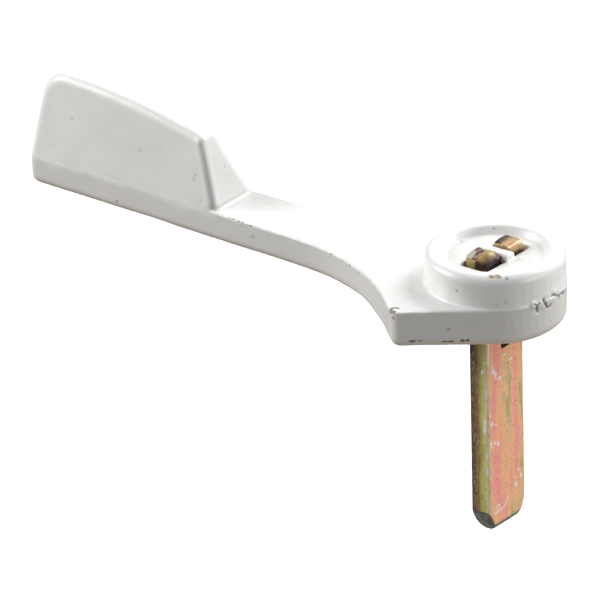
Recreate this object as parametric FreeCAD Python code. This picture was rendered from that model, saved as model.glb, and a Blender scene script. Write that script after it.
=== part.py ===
import FreeCAD, Part
import math
import os

# Latch lever for a sliding door or window: a die-cast lever (hub, arm and upright finger tab)
# and a flat steel tailpiece staked into its hub. Millimetres and degrees.
# Origin: where the spindle axis meets the hub's underside. +Z up through the hub,
# the arm runs along -X, and the tailpiece's wide faces look along X.

Vector = FreeCAD.Vector

# ---- lever: hub ----
hub_diameter = 19.05
hub_height = 9.95
hub_draft = 0.6
hub_step = 0.12
rim_width = 2.2
rim_outer_fillet = 1.2
rim_inner_fillet = 0.6
recess_depth = 1.1
recess_wall_run = 0.95
recess_floor_fillet = 0.3

# ---- lever: flat plate that the hub, heels and arm share ----
plate_top = 5.45
plate_draft = 2.0
top_edge_break = 0.15
edge_break_slope = 45.0
bottom_fillet = 1.4
heel_angle = 38.0
heel_length = 13.9
heel_corner_fillet = 1.6
neck_distance = 29.0
neck_width = 9.5
flare_angle = 41.0
arm_underside = 1.0
ramp_start = 8.5
ramp_length = 9.0

# ---- lever: arm end and finger tab ----
lever_reach = 76.35
arm_end_width = 6.4
end_fillet = 1.2
tab_inner_distance = 43.4
tab_inner_height = 10.2
tab_inner_lean = 12.6
tab_outer_height = 13.1
tab_outer_lean = 14.1
tab_outer_corner_fillet = 4.5
tab_crown = 0.85
tab_front_draft = 1.5
tab_back_offset = -0.6
tab_edge_step = 0.03
tab_root_fillet = 0.6

# ---- lever: ejector marks ----
ejector_mark_depth = 0.06
arm_mark_diameter = 6.2
arm_mark_distance = 27.3
recess_mark_diameter = 2.4

# ---- tailpiece ----
blade_width = 7.94
blade_thickness = 3.175
blade_edge_fillet = 0.4
blade_reach = 30.2
tip_bevel_width = 1.55
tip_bevel_height = 3.2
tip_end_fillet = 1.5
fork_slot_width = 2.0
fork_slot_below_hub = 3.9
prong_proud_of_rim = 0.6
prong_spread = 0.35
prong_fillet = 0.4
notch_width = 1.2
# The punch marks differ: the -Y prong is split in two, the +Y prong is only dented.
split_prong = {"ear_drop": 0.35, "ear_lean": 0.35, "notch_offset": -0.45, "notch_depth": 1.5}
dented_prong = {"ear_drop": 0.2, "ear_lean": -0.7, "notch_offset": 0.1, "notch_depth": 0.3}

# ---- how the tailpiece fits the hub ----
slot_clearance = 0.12
web_clearance = 0.15
web_above_recess_floor = 0.95
web_fillet = 0.3
pocket_depth = 1.5
pocket_side_clearance = 0.3
pocket_end_clearance = 1.0
pocket_corner_fillet = 0.7
staking_clearance = 0.05

# ---- modelling allowances ----
over_cut = 1.0
match = 0.01
smooth_cosine = math.cos(math.radians(14))

hub_radius = hub_diameter / 2
recess_floor_radius = hub_radius - rim_width - recess_wall_run
recess_floor_z = hub_height - recess_depth
ledge_z = recess_floor_z - pocket_depth
parting_z = plate_top - top_edge_break
prong_top = hub_height + prong_proud_of_rim
pocket_x = blade_thickness + 2 * (prong_spread + pocket_side_clearance)
pocket_y = blade_width + 2 * pocket_end_clearance


def run_of(height, angle):
    """Sideways run of a wall that leans by an angle over a height."""
    return height * math.tan(math.radians(angle))


def heading(angle):
    return Vector(math.cos(math.radians(angle)), math.sin(math.radians(angle)), 0)


def mirrored(point):
    return Vector(point.x, -point.y, point.z)


def line(start, end):
    return Part.LineSegment(start, end).toShape()


def arc(start, middle, end):
    return Part.Arc(start, middle, end).toShape()


def bar_along_y(outline, width):
    """Solid of an XZ outline, centred on the XZ plane."""
    return Part.Face(outline).extrude(Vector(0, width, 0)).translated(Vector(0, -width / 2, 0))


def edges_where(shape, wanted):
    return [edge for edge in shape.Edges if wanted(edge)]


def creases(shape):
    """Edges where two faces meet at an angle, without the seams of smooth walls."""
    found = []
    for edge in shape.Edges:
        faces = shape.ancestorsOfType(edge, Part.Face)
        if len(faces) != 2:
            continue
        middle = edge.valueAt((edge.FirstParameter + edge.LastParameter) / 2)
        normals = [face.normalAt(*face.Surface.parameter(middle)) for face in faces]
        if normals[0].dot(normals[1]) < smooth_cosine:
            found.append(edge)
    return found


def is_upright_at(edge, x, half_width):
    """True for a vertical edge of a slab at a place, on either side of the lever."""
    start = edge.Vertexes[0]
    near = abs(start.X - x) < match and abs(abs(start.Y) - half_width) < match
    return near and edge.BoundBox.ZLength > match


def is_tab_root(edge):
    """True for the line where the tab's hub-side end meets the arm's top face."""
    box = edge.BoundBox
    level = abs(box.ZMin - plate_top) < match and box.ZLength < match
    return level and box.XLength < match and abs(box.XMax + tab_inner_distance) < top_edge_break


def is_ring(edge, z, radius):
    if not isinstance(edge.Curve, Part.Circle):
        return False
    return abs(edge.Curve.Center.z - z) < match and abs(edge.Curve.Radius - radius) < match


# ---- lever ----


def arm_half_width(x):
    taper = (neck_width - arm_end_width) / 2 / (lever_reach - neck_distance)
    return neck_width / 2 + (x + neck_distance) * taper


def heel_points():
    """Where the heel's straight edge leaves the hub, and its outer corner, on the -Y side."""
    touch = heading(heel_angle - 90) * hub_radius
    return touch, touch - heading(heel_angle) * heel_length


def flare_points():
    """Start, middle and end of the concave arc from the arm's edge towards the heel."""
    corner = heel_points()[1]
    start = Vector(-neck_distance, -neck_width / 2, 0)
    taper = math.degrees(math.atan(arm_half_width(1) - arm_half_width(0)))
    half_turn = (flare_angle - taper) / 2
    chord_angle = taper + half_turn
    # From the arc's end a straight run at the flare angle has to meet the heel's corner.
    flare_rise = math.tan(math.radians(flare_angle))
    chord_rise = math.tan(math.radians(chord_angle))
    reach = ((corner.x - start.x) * flare_rise - (start.y - corner.y)) / (flare_rise - chord_rise)
    end = start + Vector(reach, -reach * chord_rise, 0)
    sagitta = (end - start).Length / 2 * math.tan(math.radians(half_turn / 2))
    return start, (start + end) * 0.5 + heading(90 - chord_angle) * sagitta, end


def plate_outline():
    """Outline of the lever at its parting line, symmetric about the arm's axis."""
    touch, corner = heel_points()
    neck, middle, flare_end = flare_points()
    tip = Vector(-lever_reach, -arm_end_width / 2, 0)
    outline = Part.Wire([
        arc(touch, Vector(hub_radius, 0, 0), mirrored(touch)),
        line(mirrored(touch), mirrored(corner)),
        line(mirrored(corner), mirrored(flare_end)),
        arc(mirrored(flare_end), mirrored(middle), mirrored(neck)),
        line(mirrored(neck), mirrored(tip)),
        line(mirrored(tip), tip),
        line(tip, neck),
        arc(neck, middle, flare_end),
        line(flare_end, corner),
        line(corner, touch),
    ])
    slab = Part.Face(outline).extrude(Vector(0, 0, over_cut))
    for point, fillet in ((corner, heel_corner_fillet), (tip, end_fillet)):
        corners = edges_where(slab, lambda edge: is_upright_at(edge, point.x, -point.y))
        slab = slab.makeFillet(fillet, corners)
    floor = [face for face in slab.Faces if face.BoundBox.ZMax < match]
    return floor[0].OuterWire


def drafted(outline, low, high, draft):
    """Solid with the outline at one height, tapering inwards to the other."""
    small = outline.makeOffset2D(-run_of(abs(high - low), draft))
    ends = [outline.translated(Vector(0, 0, low)), small.translated(Vector(0, 0, high))]
    return Part.makeLoft(ends, True, True)


def arm_relief():
    """Space under the arm: its underside eases up from the seat plane in two tangent arcs."""
    start = Vector(-ramp_start, 0, 0)
    end = start + Vector(-ramp_length, 0, arm_underside)
    middle = (start + end) * 0.5
    radius = (ramp_length ** 2 + arm_underside ** 2) / (4 * arm_underside)
    half_turn = math.asin(ramp_length / 2 / radius) / 2
    step = Vector(-radius * math.sin(half_turn), 0, radius * (1 - math.cos(half_turn)))
    far = -lever_reach - over_cut
    outline = Part.Wire([
        arc(start, start + step, middle),
        arc(middle, end - step, end),
        line(end, Vector(far, 0, arm_underside)),
        line(Vector(far, 0, arm_underside), Vector(far, 0, -over_cut)),
        line(Vector(far, 0, -over_cut), Vector(-ramp_start, 0, -over_cut)),
        line(Vector(-ramp_start, 0, -over_cut), start),
    ])
    return bar_along_y(outline, 2 * (heel_length + hub_radius))


def plate():
    """Flat body: drafted walls below the parting line, a broken top edge, a rounded bottom edge."""
    outline = plate_outline()
    lower = drafted(outline, parting_z, 0, plate_draft).cut(arm_relief())
    under = [edge for edge in creases(lower) if edge.BoundBox.ZMax < parting_z - match]
    lower = lower.makeFillet(bottom_fillet, under)
    return lower.fuse(drafted(outline, parting_z, plate_top, edge_break_slope))


def boss():
    """Round hub above the plate, with the recess in its top."""
    height = hub_height - parting_z
    base_radius = hub_radius - hub_step
    top_radius = base_radius - run_of(height, hub_draft)
    mouth_radius = recess_floor_radius + recess_wall_run
    body = Part.makeCone(base_radius, top_radius, height, Vector(0, 0, parting_z))
    recess = Part.makeCone(recess_floor_radius, mouth_radius, recess_depth, Vector(0, 0, recess_floor_z))
    body = body.cut(recess)
    rings = (
        (hub_height, top_radius, rim_outer_fillet),
        (hub_height, mouth_radius, rim_inner_fillet),
        (recess_floor_z, recess_floor_radius, recess_floor_fillet),
    )
    for z, radius, fillet in rings:
        body = body.makeFillet(fillet, edges_where(body, lambda edge: is_ring(edge, z, radius)))
    return body


def tab_section(x, inner_top, outer_top, top_z):
    """Cross-section of the tab at x: an upright front and a back that slopes from the arm's edge."""
    half = arm_half_width(x) - tab_edge_step
    straight_top = inner_top.z + (x - inner_top.x) * (outer_top.z - inner_top.z) / (outer_top.x - inner_top.x)
    back_slope = (half - tab_back_offset) / (straight_top - parting_z)
    rise = top_z - parting_z
    return Part.makePolygon([
        Vector(x, -half, parting_z),
        Vector(x, half, parting_z),
        Vector(x, half - back_slope * rise, top_z),
        Vector(x, -half + run_of(rise, tab_front_draft), top_z),
        Vector(x, -half, parting_z),
    ])


def tab():
    """Finger tab: its side view cut from a wedge-shaped bar, with every edge rounded."""
    inner_foot = Vector(-tab_inner_distance, 0, parting_z)
    outer_foot = Vector(-lever_reach + tab_edge_step, 0, parting_z)
    inner_top = inner_foot + Vector(-run_of(tab_inner_height, tab_inner_lean), 0, tab_inner_height)
    outer_top = outer_foot + Vector(run_of(tab_outer_height, tab_outer_lean), 0, tab_outer_height)
    crown_top = (inner_top + outer_top) * 0.5 + Vector(0, 0, tab_crown)
    side_view = bar_along_y(Part.Wire([
        line(inner_foot, inner_top),
        arc(inner_top, crown_top, outer_top),
        line(outer_top, outer_foot),
        line(outer_foot, inner_foot),
    ]), 2 * neck_width)

    def is_outer_corner(edge):
        box = edge.BoundBox
        return box.ZMin > parting_z + match and box.ZLength < match and abs(box.XMin - outer_top.x) < match

    side_view = side_view.makeFillet(tab_outer_corner_fillet, edges_where(side_view, is_outer_corner))
    top_z = outer_top.z + tab_crown
    ends = (-tab_inner_distance + over_cut, -lever_reach - over_cut)
    wedge = Part.makeLoft([tab_section(x, inner_top, outer_top, top_z) for x in ends], True, True)
    body = side_view.common(wedge)
    free_edges = [edge for edge in creases(body) if edge.BoundBox.ZMax > parting_z + match]
    return body.makeFillet(end_fillet, free_edges)


def upright_block(size_x, size_y, low, high, corner_fillet):
    """Block centred on the spindle axis, with its vertical edges rounded."""
    block = Part.makeBox(size_x, size_y, high - low, Vector(-size_x / 2, -size_y / 2, low))
    return block.makeFillet(corner_fillet, edges_where(block, lambda edge: edge.BoundBox.ZLength > match))


def spindle_opening():
    """Slot for the tailpiece, and a wider pocket above it where its prongs are staked."""
    slot_x = blade_thickness + 2 * slot_clearance
    slot_y = blade_width + 2 * slot_clearance
    slot = upright_block(slot_x, slot_y, -over_cut, ledge_z + over_cut, blade_edge_fillet)
    return slot.fuse(upright_block(pocket_x, pocket_y, ledge_z, hub_height, pocket_corner_fillet))


def web():
    """Bar across the slot and pocket, which the tailpiece's fork straddles."""
    length = pocket_x + 2 * pocket_side_clearance
    width = fork_slot_width - 2 * web_clearance
    top_z = recess_floor_z + web_above_recess_floor
    bar = Part.makeBox(length, width, top_z, Vector(-length / 2, -width / 2, 0))
    return bar.makeFillet(web_fillet, edges_where(bar, lambda edge: edge.BoundBox.ZMin > top_z - match))


def ejector_mark(diameter, x, face_z):
    return Part.makeCylinder(diameter / 2, over_cut, Vector(x, 0, face_z - ejector_mark_depth))


def lever_casting():
    body = plate().fuse([boss(), tab()]).removeSplitter()
    body = body.makeFillet(tab_root_fillet, edges_where(body, is_tab_root))
    body = body.cut(spindle_opening()).fuse(web()).removeSplitter()
    body = body.cut(ejector_mark(arm_mark_diameter, -arm_mark_distance, plate_top))
    floor_middle = (pocket_x / 2 + recess_floor_radius) / 2
    return body.cut(ejector_mark(recess_mark_diameter, floor_middle, recess_floor_z))


# ---- tailpiece ----


def tip_bevel(side):
    """Wedge cut from one narrow edge of the blade at its free end."""
    steepness = tip_bevel_height / tip_bevel_width
    inner = side * (blade_width / 2 - tip_bevel_width)
    outer = side * (blade_width / 2 + over_cut)
    corners = [
        (inner, -blade_reach),
        (outer, -blade_reach + (tip_bevel_width + over_cut) * steepness),
        (outer, -blade_reach - over_cut),
        (inner, -blade_reach - over_cut),
    ]
    outline = Part.makePolygon([Vector(-blade_thickness, y, z) for y, z in corners + corners[:1]])
    return Part.Face(outline).extrude(Vector(2 * blade_thickness, 0, 0))


def blade():
    """Flat bar with rounded edges, bevelled at both sides of its free end."""
    corner = Vector(-blade_thickness / 2, -blade_width / 2, -blade_reach)
    bar = Part.makeBox(blade_thickness, blade_width, blade_reach + ledge_z, corner)
    end = edges_where(bar, lambda edge: edge.BoundBox.ZMax < 0 and edge.BoundBox.YLength > match)
    bar = bar.makeFillet(tip_end_fillet, end)
    sides = edges_where(bar, lambda edge: edge.BoundBox.ZMax > 0 and edge.BoundBox.ZLength > match)
    bar = bar.makeFillet(blade_edge_fillet, sides)
    return bar.cut([tip_bevel(-1), tip_bevel(1)])


def prong(side, ear_drop, ear_lean, notch_offset, notch_depth):
    """Staked end of one prong: a punch has parted it into an ear (-X) and a lobe (+X)."""
    half = blade_thickness / 2
    foot = ledge_z + staking_clearance
    shoulder = prong_top - (prong_top - foot) / 3
    ear_top = prong_top - ear_drop
    ear_spread = max(ear_lean, 0)
    corners = [
        (-half, ledge_z - over_cut),
        (half, ledge_z - over_cut),
        (half, foot),
        (half + prong_spread, foot + prong_spread),
        (half + prong_spread, shoulder),
        (half, prong_top),
        (notch_offset + notch_width / 2, prong_top),
        (notch_offset, prong_top - notch_depth),
        (notch_offset - notch_width / 2, ear_top),
        (-half - ear_lean, ear_top),
        (-half - ear_spread, shoulder - ear_drop),
        (-half - ear_spread, foot + ear_spread + staking_clearance),
        (-half, foot),
    ]
    width = (blade_width - fork_slot_width) / 2
    outline = Part.makePolygon([Vector(x, 0, z) for x, z in corners + corners[:1]])
    middle = side * (fork_slot_width + width) / 2
    body = bar_along_y(outline, width).translated(Vector(0, middle, 0))
    hammered_z = shoulder - 2 * ear_drop - staking_clearance
    return body.makeFillet(prong_fillet, [edge for edge in creases(body) if edge.BoundBox.ZMin > hammered_z])


def tailpiece():
    """Blade forked from its top to below the hub, with its two prong ends staked."""
    height = ledge_z + over_cut + fork_slot_below_hub
    corner = Vector(-blade_thickness, -fork_slot_width / 2, -fork_slot_below_hub)
    forked = blade().cut(Part.makeBox(2 * blade_thickness, fork_slot_width, height, corner))
    return forked.fuse([prong(-1, **split_prong), prong(1, **dented_prong)]).removeSplitter()


os.makedirs("parts", exist_ok=True)
for name, shape in (("lever_casting", lever_casting()), ("tailpiece", tailpiece())):
    solid = shape.Solids[0]
    print(name, "valid", solid.isValid(), "solids", len(shape.Solids), "mm3", round(solid.Volume, 1))
    solid.exportStep("parts/" + name + ".step")
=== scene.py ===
import math

import bpy
import numpy as np
from bpy.props import FloatProperty, FloatVectorProperty, IntProperty, PointerProperty
from bpy.types import Operator, Panel, PropertyGroup
from mathutils import Matrix, Vector


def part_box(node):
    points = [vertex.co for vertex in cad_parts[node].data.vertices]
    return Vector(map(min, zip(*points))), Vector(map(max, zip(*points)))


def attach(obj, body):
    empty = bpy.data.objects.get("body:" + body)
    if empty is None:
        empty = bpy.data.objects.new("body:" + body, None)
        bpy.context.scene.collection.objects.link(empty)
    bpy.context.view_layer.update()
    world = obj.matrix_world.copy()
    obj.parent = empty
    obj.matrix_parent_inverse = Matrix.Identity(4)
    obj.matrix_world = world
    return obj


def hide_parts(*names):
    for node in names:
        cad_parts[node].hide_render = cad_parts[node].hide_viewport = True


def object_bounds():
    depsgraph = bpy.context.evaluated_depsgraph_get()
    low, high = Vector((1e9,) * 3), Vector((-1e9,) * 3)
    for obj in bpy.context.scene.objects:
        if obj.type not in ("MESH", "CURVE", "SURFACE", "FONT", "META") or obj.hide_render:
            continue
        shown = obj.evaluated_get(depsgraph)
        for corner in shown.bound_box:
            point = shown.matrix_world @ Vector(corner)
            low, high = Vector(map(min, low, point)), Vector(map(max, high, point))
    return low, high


# Looks of a sliding door latch lever: white enamel over a die casting, and a yellow-plated
# steel tailpiece staked into its hub. Metres; skins and wear are worked out in millimetres.

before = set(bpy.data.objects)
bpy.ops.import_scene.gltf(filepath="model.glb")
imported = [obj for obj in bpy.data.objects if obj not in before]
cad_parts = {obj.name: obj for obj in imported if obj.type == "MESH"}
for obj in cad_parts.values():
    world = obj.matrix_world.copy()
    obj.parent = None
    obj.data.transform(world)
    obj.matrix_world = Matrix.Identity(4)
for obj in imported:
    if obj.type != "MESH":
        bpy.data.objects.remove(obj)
cad_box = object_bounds()

bl_info = {
    "name": "Latch Lever Looks",
    "version": (1, 0, 0),
    "blender": (4, 5, 0),
    "location": "View3D > Sidebar > Latch Lever",
    "description": "Enamelled lever, plated tailpiece and studio for a sliding door latch lever",
    "category": "Object",
}

MM = 0.001
LEVER_NODE = "lever_casting"
TAIL_NODE = "tailpiece"

lever_low, lever_high = [np.array(corner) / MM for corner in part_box(LEVER_NODE)]
tail_low, tail_high = [np.array(corner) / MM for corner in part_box(TAIL_NODE)]
hub_radius = lever_high[0]

# Landmarks on the casting: heights above the hub's underside, then distances from the spindle.
PARTING_HEIGHT = 5.3
PLATE_TOP = 5.45
RECESS_FLOOR = 8.85
WEB_TOP = 9.8
RECESS_RADIUS = 6.4
TAB_FOOT = -43.0

# Half sizes that reach just past the web's sides along Y, and past the pocket's walls along X and Y.
WEB_REACH = 1.1
POCKET_REACH = (2.6, 5.1)

# Landmarks on the tailpiece: where the hammering starts, and the fork slot's half width and closed end.
STAKED_START, STAKED_FULL = 7.6, 8.6
SLOT_HALF, SLOT_END = 1.0, -3.9

# The punched prongs: tops of the ear, the lobe and the far prong, the split between ear and lobe along X,
# and where the ear's flat facet starts along Y.
EAR_TOP, LOBE_TOP, FAR_TOP = 10.25, 10.58, 10.5
EAR_SPLIT = -0.4
FACET_START = -2.1


# ---- settings


class EnamelSettings(PropertyGroup):
    """White enamel on the casting."""

    skin_spacing: FloatProperty(
        name="Skin Spacing", description="Distance between the points of the enamel's skin",
        default=0.21 * MM, min=0.1 * MM, subtype="DISTANCE", unit="LENGTH")
    soften_steps: IntProperty(
        name="Soften Steps", description="How far the enamel rounds the casting's sharp edges",
        default=2, min=0, max=20)
    wave_depth: FloatProperty(
        name="Wave Depth", description="Height of the slow waves in the cast surface",
        default=0.085 * MM, min=0.0, subtype="DISTANCE", unit="LENGTH")
    flash_height: FloatProperty(
        name="Flash Height", description="How far the mould's parting line stands out",
        default=0.07 * MM, min=0.0, subtype="DISTANCE", unit="LENGTH")
    chip_depth: FloatProperty(
        name="Chip Depth", description="Thickness of enamel missing from a chip",
        default=0.09 * MM, min=0.0, subtype="DISTANCE", unit="LENGTH")
    enamel_colour: FloatVectorProperty(
        name="Enamel Colour", description="Fresh enamel", default=(0.84, 0.84, 0.83),
        min=0.0, max=1.0, subtype="COLOR")
    aged_colour: FloatVectorProperty(
        name="Aged Colour", description="Enamel where it has yellowed or holds dirt",
        default=(0.74, 0.725, 0.69), min=0.0, max=1.0, subtype="COLOR")
    zinc_colour: FloatVectorProperty(
        name="Zinc Colour", description="Bare zinc in a chip", default=(0.20, 0.185, 0.16),
        min=0.0, max=1.0, subtype="COLOR")
    primer_colour: FloatVectorProperty(
        name="Primer Colour", description="Tan conversion coat that shows in shallow chips",
        default=(0.44, 0.37, 0.26), min=0.0, max=1.0, subtype="COLOR")


class PlatingSettings(PropertyGroup):
    """Yellow chromate over zinc plate on the tailpiece."""

    skin_spacing: FloatProperty(
        name="Skin Spacing", description="Distance between the points of the tailpiece's skin",
        default=0.11 * MM, min=0.08 * MM, subtype="DISTANCE", unit="LENGTH")
    soften_steps: IntProperty(
        name="Soften Steps", description="How far rolling has rounded the bar's edges",
        default=2, min=0, max=20)
    hammer_depth: FloatProperty(
        name="Hammer Depth", description="Depth of the dents on the staked prongs",
        default=0.09 * MM, min=0.0, subtype="DISTANCE", unit="LENGTH")
    salmon_colour: FloatVectorProperty(
        name="Salmon Colour", description="Thin chromate film", default=(1.0, 0.42, 0.31),
        min=0.0, max=1.0, subtype="COLOR")
    orange_colour: FloatVectorProperty(
        name="Orange Colour", description="Chromate film between salmon and tan",
        default=(1.0, 0.53, 0.25), min=0.0, max=1.0, subtype="COLOR")
    olive_colour: FloatVectorProperty(
        name="Olive Colour", description="Thick chromate film", default=(0.52, 0.42, 0.17),
        min=0.0, max=1.0, subtype="COLOR")
    # Painted shade: this colour is used only in the narrow faces' ramp, near their shaded -X edge.
    narrow_shade_colour: FloatVectorProperty(
        name="Brown Colour", description="Chromate where it has run and dried dark",
        default=(0.125, 0.06, 0.035), min=0.0, max=1.0, subtype="COLOR")
    tan_colour: FloatVectorProperty(
        name="Tan Colour", description="Chromate of middling thickness",
        default=(0.80, 0.54, 0.30), min=0.0, max=1.0, subtype="COLOR")
    steel_colour: FloatVectorProperty(
        name="Steel Colour", description="Bare steel at the ground tip", default=(0.14, 0.137, 0.132),
        min=0.0, max=1.0, subtype="COLOR")


class StudioSettings(PropertyGroup):
    """Camera, floor and lights."""

    azimuth: FloatProperty(
        name="Camera Azimuth", description="Turn of the camera round the lever, from -Y towards +X",
        default=math.radians(38.0), subtype="ANGLE", unit="ROTATION")
    elevation: FloatProperty(
        name="Camera Elevation", description="Height of the camera above the horizon",
        default=math.radians(25.066), subtype="ANGLE", unit="ROTATION")
    roll: FloatProperty(
        name="Camera Roll", description="Tilt of the camera about its own axis",
        default=math.radians(-1.457), subtype="ANGLE", unit="ROTATION")
    distance: FloatProperty(
        name="Camera Distance", description="From the camera to the plane through the spindle's foot",
        default=1.2, min=0.1, subtype="DISTANCE", unit="LENGTH")
    lens: FloatProperty(
        name="Lens", description="Focal length in millimetres", default=546.84, min=10.0)
    aim_left: FloatProperty(
        name="Aim Left", description="How far left of the spindle's foot the camera looks",
        default=25.764 * MM, subtype="DISTANCE", unit="LENGTH")
    aim_up: FloatProperty(
        name="Aim Up", description="How far above the spindle's foot the camera looks",
        default=2.202 * MM, subtype="DISTANCE", unit="LENGTH")
    floor_drop: FloatProperty(
        name="Floor Drop", description="Gap between the tailpiece's tip and the floor",
        default=120.0 * MM, min=0.0, subtype="DISTANCE", unit="LENGTH")
    floor_colour: FloatVectorProperty(
        name="Floor Colour", description="Pale studio floor", default=(0.93, 0.93, 0.93),
        min=0.0, max=1.0, subtype="COLOR")
    sky_strength: FloatProperty(
        name="Sky Strength", description="Even light from above", default=0.02, min=0.0)
    table_glow: FloatProperty(
        name="Table Glow", description="Light thrown back from below", default=0.23, min=0.0)


# ---- skins


def node_skin(node, name, spacing, soften_steps):
    """A fine, even copy of a CAD solid's surface with its sharp edges softened."""
    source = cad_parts[node]
    piece = bpy.data.objects.new(name, source.data.copy())
    bpy.context.scene.collection.objects.link(piece)
    remesh = piece.modifiers.new("Even Skin", "REMESH")
    remesh.mode = "VOXEL"
    remesh.voxel_size = spacing
    hug = piece.modifiers.new("Hug Solid", "SHRINKWRAP")
    hug.target = source
    hug.wrap_method = "NEAREST_SURFACEPOINT"
    soften = piece.modifiers.new("Soften", "SMOOTH")
    soften.factor = 0.5
    soften.iterations = soften_steps
    depsgraph = bpy.context.evaluated_depsgraph_get()
    skin = bpy.data.meshes.new_from_object(piece.evaluated_get(depsgraph))
    piece.modifiers.clear()
    piece.data = skin
    skin.name = name
    skin.materials.clear()
    skin.shade_smooth()
    return piece


def read_points(mesh):
    """Vertex places in millimetres, and vertex normals."""
    points = np.empty(len(mesh.vertices) * 3, np.float32)
    normals = np.empty(len(mesh.vertices) * 3, np.float32)
    mesh.vertices.foreach_get("co", points)
    mesh.vertex_normals.foreach_get("vector", normals)
    return points.reshape(-1, 3).astype(float) / MM, normals.reshape(-1, 3).astype(float)


def write_points(mesh, points, low, high):
    """Vertex places from millimetres, kept inside the CAD solid's own box."""
    inside = np.clip(points, low, high) * MM
    mesh.vertices.foreach_set("co", inside.astype(np.float32).ravel())
    mesh.update()


def write_fields(mesh, **fields):
    """One number per vertex in each named field, for the material to read."""
    for name, values in fields.items():
        field = mesh.attributes.new(name, "FLOAT", "POINT")
        field.data.foreach_set("value", values.astype(np.float32))


def lattice_noise(points, size, seed):
    """Smooth random numbers from -1 to 1 whose lumps are about `size` millimetres."""
    table = np.random.default_rng(seed).uniform(-1.0, 1.0, 4096)
    scaled = points / size + 1000.0
    cell = np.floor(scaled).astype(np.int64)
    part = scaled - cell
    part = part * part * (3.0 - 2.0 * part)
    total = np.zeros(len(points))
    for corner in np.ndindex(2, 2, 2):
        key = (cell + corner) * np.array([73856093, 19349663, 83492791])
        values = table[(key[:, 0] ^ key[:, 1] ^ key[:, 2]) & 4095]
        share = np.ones(len(points))
        for axis in range(3):
            share *= part[:, axis] if corner[axis] else 1.0 - part[:, axis]
        total += values * share
    return total


def smooth_step(values, start, end):
    """0 before start, 1 after end, and an easy slope between."""
    t = np.clip((values - start) / (end - start), 0.0, 1.0)
    return t * t * (3.0 - 2.0 * t)


def near(points, centre, radius):
    """1 at a place, falling to 0 at a radius from it."""
    distance = np.linalg.norm((points - np.array(centre)) / np.array(radius), axis=1)
    return np.clip(1.0 - distance, 0.0, 1.0)


# ---- wear on the casting

# Chips through the enamel: place, and how far each reaches along X, Y and Z.
CHIPS = (
    ((4.8, -7.3, 9.84), (0.7, 0.5, 0.34)),
    ((5.5, -6.8, 9.84), (0.95, 0.6, 0.34)),
    ((-3.0, -14.3, 1.1), (0.8, 0.8, 0.2)),
    ((-2.2, -13.6, 1.2), (0.5, 0.7, 0.16)),
    ((0.3, -11.7, 0.95), (0.8, 0.7, 0.18)),
    ((0.9, -11.1, 0.95), (0.5, 0.6, 0.14)),
    ((2.1, -10.2, 1.05), (0.5, 0.7, 0.26)),
    ((2.6, -9.8, 1.05), (0.45, 0.6, 0.24)),
    ((-22.9, -5.55, 5.1), (0.34, 0.3, 0.13)),
    ((-20.5, -6.2, 5.2), (0.42, 0.3, 0.13)),
    ((-13.6, -9.35, 5.25), (0.34, 0.3, 0.14)),
    ((-12.1, -10.25, 5.2), (0.3, 0.3, 0.15)),
    ((-42.9, -4.3, 5.25), (0.4, 0.3, 0.15)),
    ((-42.2, -4.3, 5.25), (0.4, 0.3, 0.15)),
    ((-40.9, -4.4, 5.27), (0.45, 0.3, 0.16)),
    ((-40.2, -4.4, 5.3), (0.45, 0.3, 0.15)),
    ((-39.3, -4.4, 5.25), (0.4, 0.3, 0.16)),
    ((-38.6, -4.45, 5.3), (0.4, 0.3, 0.15)),
    ((-37.2, -4.5, 5.1), (0.26, 0.3, 0.14)),
    ((-8.4, -14.4, 5.4), (0.4, 0.35, 0.24)),
    ((-18.4, -6.6, 0.7), (0.8, 0.6, 0.35)),
    ((-60.5, 0.4, 17.9), (0.5, 0.35, 0.25)),
    ((-52.0, 4.1, 6.0), (0.5, 0.4, 0.3)),
    ((-4.6, 15.4, 5.3), (0.6, 0.5, 0.3)),
    ((-14.0, 9.9, 5.35), (0.5, 0.4, 0.22)),
    ((4.0, 8.3, 9.7), (0.6, 0.45, 0.25)),
)

# Cracks where the casting was broken from its gate: headings round the hub in degrees, and heights.
CRACKS = (
    ((-21.5, 5.5), (-19.0, 5.3), (-18.6, 4.1)),
    ((-18.9, 5.2), (-15.7, 5.3)),
    ((-17.4, 4.6), (-18.0, 4.2)),
    ((-11.4, 5.7), (-10.2, 5.1), (-9.4, 4.5), (-5.6, 4.35), (-2.6, 4.55)),
    ((-10.2, 5.1), (-8.2, 4.85)),
    ((-1.6, 5.6), (2.4, 5.55), (6.0, 5.2)),
    ((7.9, 5.3), (7.6, 4.6)),
    ((9.6, 5.1), (13.0, 5.1), (16.4, 4.7), (19.3, 4.9)),
)

# Blob of metal at the cracks' near end: heading and height, radius, and how far it stands out.
LUMP_PLACE, LUMP_RADIUS, LUMP_HEIGHT = (-21.4, 5.35), 0.75, 0.24
CRACK_DEPTH = 0.16
CORNER_LIFT = 0.2

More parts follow.
